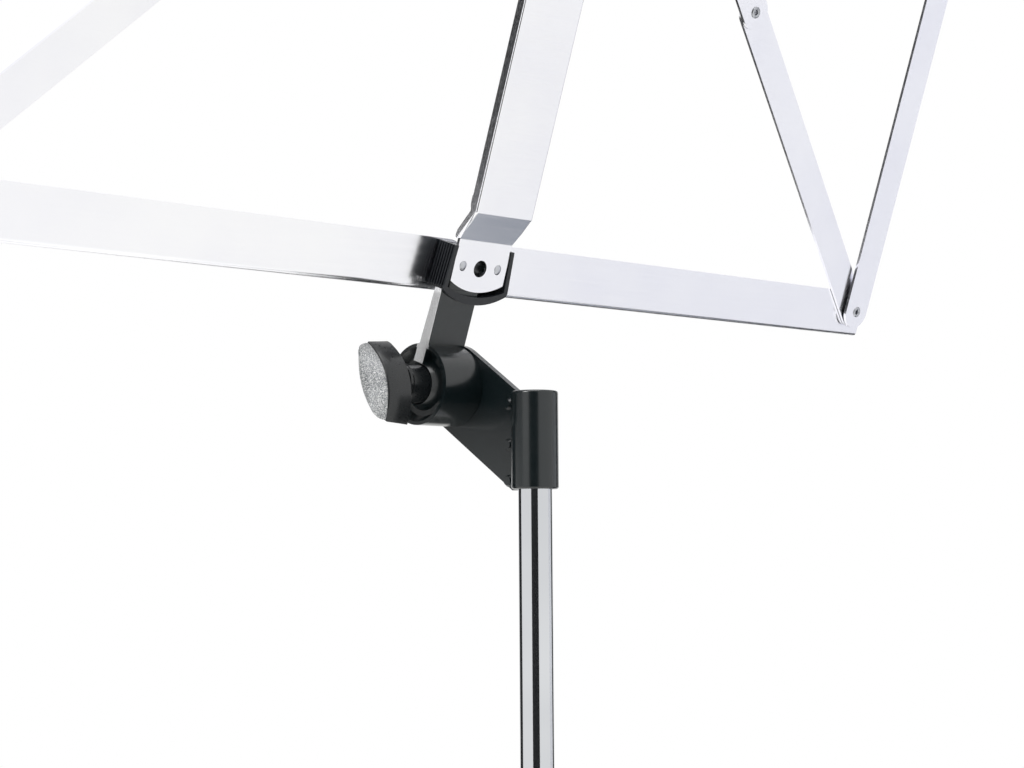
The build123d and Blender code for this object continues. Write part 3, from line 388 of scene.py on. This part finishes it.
def lens_loop(half: float, belly: float, tip: float, steps: int = 20) -> list[tuple[float, float]]:
    """The outline of a pointed oval with rounded tips, long along the local X.

    Args:
        half: Half its length in millimetres.
        belly: Half its width.
        tip: Radius of the rounded tips.
        steps: Points on each side.
    Returns:
        The closed outline.
    """
    tip_zone, tip_end, fullness, shortening = 0.85, 0.97, 0.25, 0.012
    loop = []
    for sign in (1, -1):
        for i in range(steps):
            s = -1 + 2 * i / steps
            x = half * s * sign
            y = belly * (1 - s * s) * sign
            pinch = tip * (1 - abs(s)) ** 0.5 * fullness if abs(s) > tip_zone else 0.0
            loop.append((x * (1 - shortening * tip * (abs(s) > tip_end)), y + sign * pinch))
    return loop


@dataclass
class WingShape:
    """A wing grip on a round neck, drawn along the local Z with its length along the local X.

    Sizes are in millimetres. Heights start at the grip's underside, and the crown stands on its height.
    """

    half: float
    belly: float
    height: float
    crown: float
    draft: float
    neck_radius: float
    neck_length: float
    stud_radius: float = 0.0
    stud_length: float = 0.0

    def build(self, name: str, place: Matrix) -> bpy.types.Object:
        """Build the grip, the neck and the stud as one object.

        Args:
            name: The object's name.
            place: Puts the underside's centre in the row frame.
        Returns:
            The object: slot 0 is the side, slot 1 the end face, slot 2 the stud.
        """
        bm = bmesh.new()
        top, face_inset, crown_inset = self.height, self.draft + 0.65, self.belly * 0.62
        tip_radius, tip_share, crown_steps = 1.2, 0.9, 6
        side, end_face, stud = 0, 1, 2
        # Each section is a height and an inset from the widest outline.
        sections = [(0.0, 0.9), (0.12, 0.4), (0.45, 0.0), (top * 0.5, self.draft * 0.5),
                    (top - 0.5, self.draft * 0.95), (top - 0.12, self.draft + 0.25), (top, face_inset)]
        face_starts = len(sections) - 1
        for i in range(1, crown_steps + 1):
            t = i / crown_steps
            sections.append((top + self.crown * sin(t * pi / 2),
                             face_inset + crown_inset * (1 - cos(t * pi / 2))))
        rings = []
        for height, inset in sections:
            loop = lens_loop(self.half - inset * tip_share, self.belly - inset, tip_radius)
            rings.append([bm.verts.new((x * MM, y * MM, height * MM)) for x, y in loop])
        for k, (low, high) in enumerate(zip(rings, rings[1:])):
            for i in range(len(low)):
                j = (i + 1) % len(low)
                face = bm.faces.new((low[i], low[j], high[j], high[i]))
                face.material_index = end_face if k >= face_starts else side
        bm.faces.new(rings[0][::-1])
        bm.faces.new(rings[-1]).material_index = end_face
        r, n, groove = self.neck_radius, -self.neck_length, self.neck_radius - 0.35
        spin(bm, [(ON_AXIS, 0.1), (r, 0.1), (r, -0.6), (groove, -0.9), (groove, -1.3), (r, -1.6),
                  (r, n + 0.4), (r - 0.4, n), (ON_AXIS, n)], 56, closed=False)
        if self.stud_length:
            base = len(bm.faces)
            s, end, thread_depth, thread_points = self.stud_radius, n - self.stud_length, 0.25, 28
            turns = [(s - (thread_depth if i % 2 else 0.0), n - self.stud_length * i / thread_points)
                     for i in range(thread_points)]
            spin(bm, [(ON_AXIS, n), *turns, (s - 0.6, end), (ON_AXIS, end)], 32, closed=False)
            bm.faces.ensure_lookup_table()
            for face in bm.faces[base:]:
                face.material_index = stud
        return make_object(bm, name, place)


def clamp_wing(stud_length: float) -> WingShape:
    """The wing screw that both clamps and the leg spider share.

    Args:
        stud_length: Its threaded length beyond the neck in millimetres.
    Returns:
        Its shape.
    """
    return WingShape(half=11.9, belly=5.15, height=8.4, crown=1.5, draft=0.6, neck_radius=4.6,
                     neck_length=WING_NECK, stud_radius=2.5, stud_length=stud_length)


# ------------------------------------------------------------------ sub-assemblies
@dataclass
class SubAssembly:
    """A group of pieces; each has its CAD nodes and may add detailed pieces of its own."""

    nodes: dict[str, bpy.types.Object]
    body_of: dict[str, str]
    made: list[bpy.types.Object] = field(default_factory=list)

    def centre(self, node: str) -> Vector:
        """The middle of a CAD node's box.

        Args:
            node: The node's name.
        Returns:
            The middle, in metres.
        """
        low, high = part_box(node)
        return (Vector(low) + Vector(high)) / 2

    def stand_for(self, piece: bpy.types.Object, node: str, slot: str, *finishes: Finish) -> None:
        """Make a detailed piece stand for a CAD node and move with its body.

        Args:
            piece: The detailed piece.
            node: The CAD node it replaces.
            slot: The record's material slot; not used.
            *finishes: Its finishes.
        """
        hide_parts(node)
        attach(piece, self.body_of[node])
        dress(piece, *finishes)
        self.made.append(piece)

    def keep(self, names: Iterable[str], finish: Finish, rounding_mm: float = 0.0) -> None:
        """Keep CAD nodes as they are, with a finish and softened edges.

        Args:
            names: The nodes' names.
            finish: Their finish.
            rounding_mm: Width of the edge rounding, or 0 for none.
        """
        for name in names:
            obj = self.nodes[name]
            dress(obj, finish)
            if rounding_mm:
                soften(obj, rounding_mm)
            log.info("kept %s as %s", name, finish.name)


@dataclass
class Column(SubAssembly):
    """The three tubes, their guides and the two clamps with their screws."""

    def tube(self, node: str) -> None:
        """Replace a tube by a smooth turned one with rolled ends.

        Args:
            node: The tube's CAD node.
        """
        low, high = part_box(node)
        radius, length = (high[0] - low[0]) / 2 / MM, (high[2] - low[2]) / MM
        inner, e, bands = radius - TUBE_WALL, 0.3, 12
        profile = [(inner, e), (inner + e, 0), (radius - e, 0), (radius, e)]
        profile += [(radius, e + (length - 2 * e) * i / bands) for i in range(1, bands)]
        profile += [(radius, length - e), (radius - e, length), (inner + e, length), (inner, length - e)]
        bm = bmesh.new()
        spin(bm, profile, 128)
        piece = make_object(bm, f"{node}_turned", Matrix.Translation((0, 0, low[2])))
        self.stand_for(piece, node, "chrome_tube", CHROME)

    def screw(self, node: str, axis: Vector, shape: WingShape, underside: float) -> None:
        """Replace a wing screw by a detailed one.

        Args:
            node: The screw's CAD node.
            axis: Direction from the column to the wing.
            shape: Its shape.
            underside: Distance from the column's axis to the wing's underside in millimetres.
        """
        middle = self.centre(node)
        place = axes_at(Vector((0, 0, middle.z)) + axis * underside * MM, axis, UPRIGHT)
        piece = shape.build(f"{node}_moulded", place)
        self.stand_for(piece, node, "black_plastic", WING_SIDE, NYLON, RIVET)

    def build(self) -> None:
        """Build and dress the column."""
        for node in ("base_tube", "middle_tube", "upper_tube"):
            self.tube(node)
        self.keep(("base_plug", "middle_plug", "upper_plug"), NYLON)
        self.keep(("lower_clamp", "upper_clamp"), NYLON, 0.3)
        for node, neck_end in (("lower_clamp_screw", 23.7), ("upper_clamp_screw", 21.7)):
            low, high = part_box(node)
            self.screw(node, ACROSS, clamp_wing(neck_end - low[0] / MM), high[0] / MM - WING_GRIP)


@dataclass
class Tripod(SubAssembly):
    """The spider, hub, legs, struts and feet."""

    def build(self) -> None:
        """Build and dress the tripod."""
        self.keep(("leg_spider", "strut_hub"), NYLON, 0.25)
        self.keep(("leg_rivets", "hub_rivets"), RIVET, 0.5)
        for i in (1, 2, 3):
            self.keep((f"leg_{i}",), NICKEL_UPRIGHT, 0.3)
            self.keep((f"strut_{i}",), NICKEL_UPRIGHT, 0.3)
            self.keep((f"strut_rivet_{i}",), RIVET, 0.4)
            self.keep((f"foot_{i}",), RUBBER, 0.8)
        low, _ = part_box("spider_screw")
        stud_tip = 10.2
        shape = clamp_wing(-low[0] / MM - (WING_GRIP + WING_NECK) - stud_tip)
        place = axes_at(Vector((low[0] + WING_GRIP * MM, 0, self.centre("spider_screw").z)), -ACROSS, UPRIGHT)
        piece = shape.build("spider_screw_moulded", place)
        self.stand_for(piece, "spider_screw", "black_plastic", WING_SIDE, NYLON, RIVET)


@dataclass
class Head(SubAssembly):
    """The socket, gusset, arm with its barrel, ribbed cover and wing knob."""

    tilt_axis: Vector = field(default_factory=lambda: Vector((0, -0.04295, 1.0542)))
    knob_turn: float = radians(18.2)

    def build(self) -> None:
        """Build and dress the head."""
        self.keep(("head_socket", "gusset_plate"), ENAMEL, 0.35)
        self.keep(("gusset_rivets",), ENAMEL, 0.45)
        # The arm's outer side carries a painted highlight of near-white mirror metal.
        self.keep(("tilt_arm",), ENAMEL_WITH_PAINTED_SIDE_HIGHLIGHT, 0.12)
        self.keep(("head_cover",), NYLON, 0.12)
        self.keep(("tilt_bolt",), RIVET, 0.5)
        low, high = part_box("tilt_knob")
        base, grip, seam = 25.2, 10.4, 0.05
        shape = WingShape(half=16.25, belly=6.65, height=grip, crown=high[0] / MM - base - (grip + seam),
                          draft=0.9, neck_radius=7.0, neck_length=base - low[0] / MM)
        long_way = Vector((0, -sin(self.knob_turn), cos(self.knob_turn)))
        place = axes_at(self.tilt_axis + ACROSS * base * MM, ACROSS, long_way)
        piece = shape.build("tilt_knob_moulded", place)
        # The knob's end face is painted lit grey, with painted glints.
        self.stand_for(piece, "tilt_knob", "black_plastic", WING_SIDE, ERODED_NYLON_PAINTED_LIGHT)


@dataclass
class Desk(SubAssembly):
    """The folding desk of plated strip and its eyelets and rivets."""

    def eyelet(self, node: str, length: float, both_ends: bool = True) -> None:
        """Replace an eyelet by one with rolled heads.

        Args:
            node: The eyelet's CAD node.
            length: Between the heads in millimetres.
            both_ends: Whether the far end has a head too.
        """
        bore, barrel, roll = 0.95, 1.6, 0.45
        near = [(bore, -0.08), (1.05, -0.26), (1.28, -0.41), (barrel, -roll), (1.95, -0.38), (2.2, -0.2),
                (2.3, 0.0), (barrel, 0.0)]
        if both_ends:
            profile = near + [(r, length - h) for r, h in reversed(near)]
        else:
            profile = near + [(barrel, length), (bore, length)]
        rise = roll * (2 if both_ends else 1)
        start = self.centre(node) - TO_READER * ((length + rise) / 2 - roll) * MM
        bm = bmesh.new()
        spin(bm, profile, 40)
        piece = make_object(bm, f"{node}_rolled", axes_at(start, TO_READER, ACROSS))
        self.stand_for(piece, node, "rivet_steel", RIVET)

    def domed_pair(self, node: str, offset: float, profile: Sequence[tuple[float, float]],
                   depth: float) -> None:
        """Replace a pair of solid rivets by turned ones with domed heads.

        Args:
            node: The pair's CAD node.
            offset: Each rivet's distance from the desk's middle in millimetres.
            profile: Radius and height pairs from the head's top.
            depth: Whole length in millimetres.
        """
        bm = bmesh.new()
        middle = self.centre(node)
        for way in (1, -1):
            one = bmesh.new()
            spin(one, profile, 40, closed=False)
            start = Vector((way * offset * MM, middle.y, middle.z)) - TO_READER * depth / 2 * MM
            bmesh.ops.transform(one, matrix=axes_at(start, TO_READER, ACROSS), verts=one.verts)
            held = bpy.data.meshes.new("held")
            one.to_mesh(held)
            one.free()
            bm.from_mesh(held)
            bpy.data.meshes.remove(held)
        self.stand_for(make_object(bm, f"{node}_domed"), node, "rivet_steel", RIVET)

    def joggle_webs(self) -> None:
        """Carry the centre bar's side flanges down its joggle, as the folded channel does."""
        _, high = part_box("centre_bar")
        outer, web, lip = high[0] / MM, 1.1, 0.05
        origin = self.centre("plate_rivets") - TO_READER * (PLATE_RIVET_LENGTH / 2 - PLATE_RIVET_DOME) * MM
        # Pairs of height up the desk and depth to the reader, from the plate's middle.
        outline = [(9.4, 0.25), (20.7, -6.22), (26.0, -6.22), (26.0, -2.62), (22.8, -2.62), (20.4, -3.4),
                   (12.6, 0.95), (10.8, 1.3), (9.6, 1.15)]
        bm = bmesh.new()
        for way in (1, -1):
            ring = [bm.verts.new((way * (outer - (web + lip)) * MM, v * MM, d * MM)) for v, d in outline]
            face = bm.faces.new(ring)
            pushed = bmesh.ops.extrude_face_region(bm, geom=[face])
            moved = [g for g in pushed["geom"] if isinstance(g, bmesh.types.BMVert)]
            bmesh.ops.translate(bm, verts=moved, vec=(way * web * MM, 0, 0))
        turned = Matrix((ACROSS, UP_DESK, TO_READER)).transposed().to_4x4()
        place = Matrix.Translation((0, origin.y, origin.z)) @ turned
        piece = make_object(bm, "centre_bar_joggle_webs", place)
        soften(piece, 0.25)
        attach(piece, "desk")
        dress(piece, NICKEL)
        self.made.append(piece)

    def build(self) -> None:
        """Build and dress the desk."""
        self.keep(("centre_bar",), NICKEL, 0.25)
        self.joggle_webs()
        for hand in ("left", "right"):
            strips = ("ledge", "outer_strut", "lower_brace", "upper_brace", "top_bar")
            self.keep([f"{strip}_{hand}" for strip in strips], NICKEL, 0.3)
            self.eyelet(f"ledge_eyelet_{hand}", 4.55)
            self.eyelet(f"corner_eyelet_{hand}", 3.8)
            self.eyelet(f"knee_eyelet_{hand}", 1.2, both_ends=False)
        head_radius, shank, tail_at, arc_steps = 1.95, 1.5, 11.45, 6
        arc = [t * pi / 2 / arc_steps for t in range(1, arc_steps + 1)]
        dome = [(head_radius * sin(turn), PLATE_RIVET_DOME * (1 - cos(turn))) for turn in arc]
        tail = [(shank, PLATE_RIVET_DOME), (shank, tail_at), (3.0, tail_at), (3.0, 11.8), (2.6, 12.15),
                (1.6, PLATE_RIVET_LENGTH), (ON_AXIS, PLATE_RIVET_LENGTH)]
        self.domed_pair("plate_rivets", PLATE_RIVET_OFFSET, [(ON_AXIS, 0.0), *dome, *tail],
                        PLATE_RIVET_LENGTH)
        self.keep(("brace_rivets",), RIVET, 0.4)


# ------------------------------------------------------------------ studio
@dataclass
class Studio:
    """Camera at the photograph's viewpoint, pale floor, white surround, soft lights and reflection cards."""

    viewpoint: Vector = field(default_factory=lambda: Vector((0.58090, 0.56084, 0.99006)))
    heading: float = radians(134.549)
    pitch: float = radians(4.423)
    roll: float = radians(-0.408)
    lens: float = 81.24

    def camera(self) -> None:
        """Create the camera and make it the scene's."""
        level = Vector((-sin(self.heading), cos(self.heading), 0.0))
        forward = level * cos(self.pitch) + UPRIGHT * sin(self.pitch)
        right = forward.cross(UPRIGHT).normalized()
        up = right.cross(forward)
        right, up = (cos(self.roll) * right + sin(self.roll) * up,
                     cos(self.roll) * up - sin(self.roll) * right)
        data = bpy.data.cameras.new("camera")
        data.lens, data.sensor_width, data.clip_start = self.lens, 36.0, 0.02
        made = bpy.data.objects.new("camera", data)
        turned = Matrix((right, up, -forward)).transposed().to_4x4()
        made.matrix_world = Matrix.Translation(self.viewpoint) @ turned
        bpy.context.scene.collection.objects.link(made)
        bpy.context.scene.camera = made

    def card(self, name: str, centre: Vector, facing: Vector, width: float, height: float,
             shade: str) -> None:
        """Hang a matt card that shows only in reflections.

        Args:
            name: The card's name.
            centre: Its middle in metres.
            facing: The point it faces.
            width: Its width in metres.
            height: Its height in metres.
            shade: Its hex colour.
        """
        bm = bmesh.new()
        bmesh.ops.create_grid(bm, x_segments=1, y_segments=1, size=0.5)
        bmesh.ops.scale(bm, vec=(width, height, 1), verts=bm.verts)
        z = (facing - centre).normalized()
        x = UPRIGHT.cross(z).normalized()
        place = Matrix.Translation(centre) @ Matrix((x, z.cross(x), z)).transposed().to_4x4()
        made = make_object(bm, name, place)
        dress(made, Finish(f"matt_card_{shade[1:].lower()}", shade, shade, 0.0, (0.85, 0.9), 300, 20, 0.0))
        made.visible_camera = False
        made.visible_shadow = False
        made.visible_diffuse = False

    def light(self, name: str, centre: Vector, target: Vector, size: float, power: float) -> None:
        """Add a soft square light.

        Args:
            name: The light's name.
            centre: Its place in metres.
            target: The point it faces.
            size: Its side in metres.
            power: Its power in watts.
        """
        data = bpy.data.lights.new(name, "AREA")
        data.shape, data.size, data.energy = "SQUARE", size, power
        made = bpy.data.objects.new(name, data)
        aim = (target - centre).to_track_quat("-Z", "Y").to_matrix().to_4x4()
        made.matrix_world = Matrix.Translation(centre) @ aim
        bpy.context.scene.collection.objects.link(made)

    def build(self) -> None:
        """Create the whole studio."""
        head = Vector((0, 0, 1.08))
        self.camera()
        bm = bmesh.new()
        bmesh.ops.create_grid(bm, x_segments=1, y_segments=1, size=4.0)
        floor = make_object(bm, "floor")
        dress(floor, Finish("matt_white_floor_paint", "#F0F0EE", "#F6F6F4", 0.0, (0.6, 0.7), 700, 3, 0.02))
        to_camera = (self.viewpoint - head).normalized()
        for name, turn, away, width, shade in (("dark_card_camera", -5, 1.5, 1.25, "#101214"),
                                               ("dark_card_left", -128, 1.6, 1.1, "#181A1C"),
                                               ("dark_card_right", 128, 1.6, 1.1, "#181A1C")):
            aside = Matrix.Rotation(radians(turn), 3, "Z") @ to_camera
            self.card(name, head + aside * away, head, width, 2.6, shade)
        for name, spot, size, shade in (("grey_card_low", Vector((-1.2, 0.12, 0.03)), 0.62, "#7E838C"),
                                        ("dark_card_low", Vector((-1.5, -0.85, 0.03)), 1.2, "#1A1C1E")):
            self.card(name, spot, spot + Vector((0, 0.001, 1)), size, size, shade)
        for name, height, tall in (("dark_card_reader_low", 1.15, 0.10),
                                   ("dark_card_reader_high", 1.665, 0.80)):
            self.card(name, Vector((1.02, -1.0, height)), head, 1.5, tall, "#0C0E10")
        self.card("grey_card_side", head + Vector((-1.35, 0.62, -0.25)), head, 0.8, 1.2, "#D2D3D8")
        self.light("key_high_side", head + Vector((1.5, -0.1, 0.75)), head, 0.5, 15.0)
        self.light("overhead", head + Vector((0.3, 0.2, 1.6)), head, 1.2, 14.0)
        world = bpy.data.worlds.new("white_surround")
        world.use_nodes = True
        world.node_tree.nodes["Background"].inputs["Color"].default_value = colour("#FFFFFF")
        world.node_tree.nodes["Background"].inputs["Strength"].default_value = 1.0
        bpy.context.scene.world = world
        bpy.context.scene.view_settings.view_transform = "Standard"


def main() -> None:
    """Build every sub-assembly, then the studio."""
    record = frame["record"]
    body_of = {node: body for body, nodes in record["behaviour"]["bodies"].items() for node in nodes}
    nodes = frame["nodes"]
    for part in record["subparts"]:
        dress(nodes[part["node"]], SLOT_FINISH[part["material_slot"]])
    for assembly in (Column, Tripod, Head, Desk):
        built = assembly(nodes, body_of)
        built.build()
        log.info("%s: %d detailed pieces", assembly.__name__, len(built.made))
    Studio().build()


if __name__ == "__main__":
    main()
